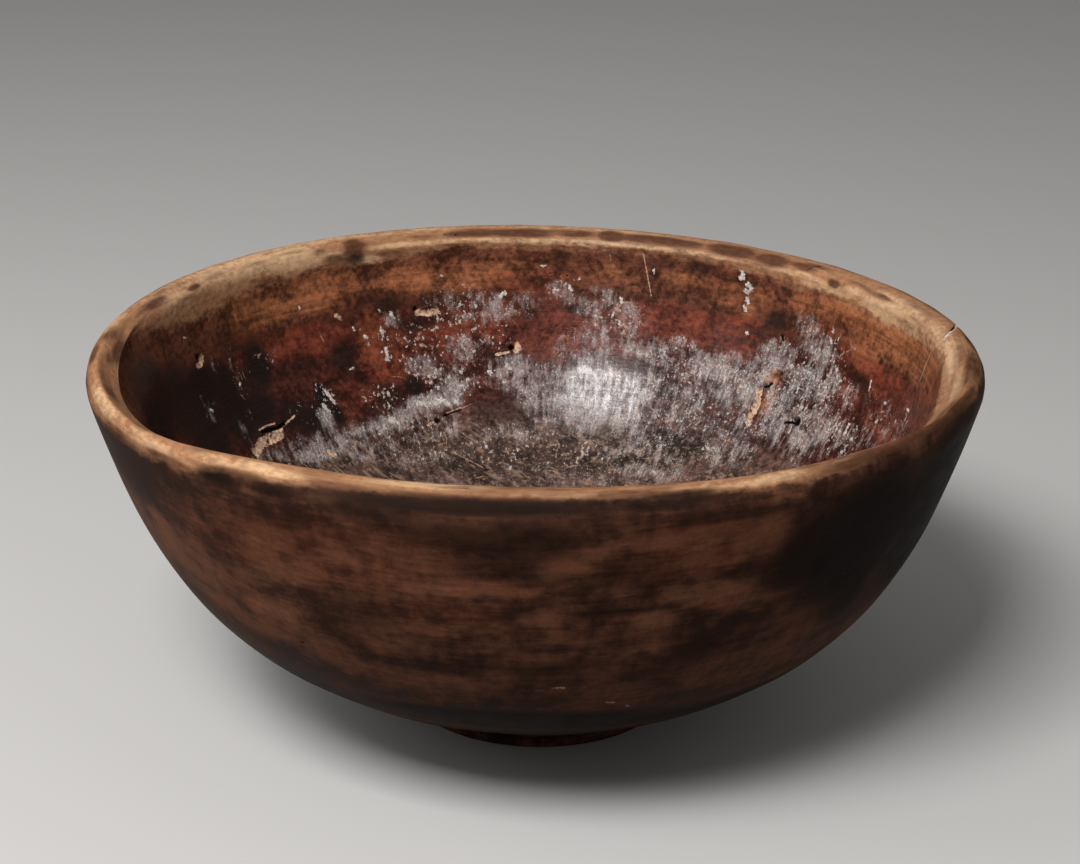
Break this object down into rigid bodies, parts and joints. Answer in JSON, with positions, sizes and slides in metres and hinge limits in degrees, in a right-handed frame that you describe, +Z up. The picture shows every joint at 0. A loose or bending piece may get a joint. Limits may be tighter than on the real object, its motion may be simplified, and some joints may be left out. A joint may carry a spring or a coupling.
{
  "type": "dough bowl",
  "caption": "Deep round turned wooden bowl with a thick rounded rim, a plain curved wall and a short coved foot.",
  "frame": {"origin": "centre of the foot's flat face, on the surface that the bowl stands on", "axes": "+Z up along the axis that the bowl was turned about; +X to the right and +Y away from the viewer"},
  "size_m": [0.4, 0.3998, 0.176],
  "materials": {
    "wood": "satin"
  },
  "bodies": {
    "root": {"bowl": "wood"}
  },
  "joints": []
}
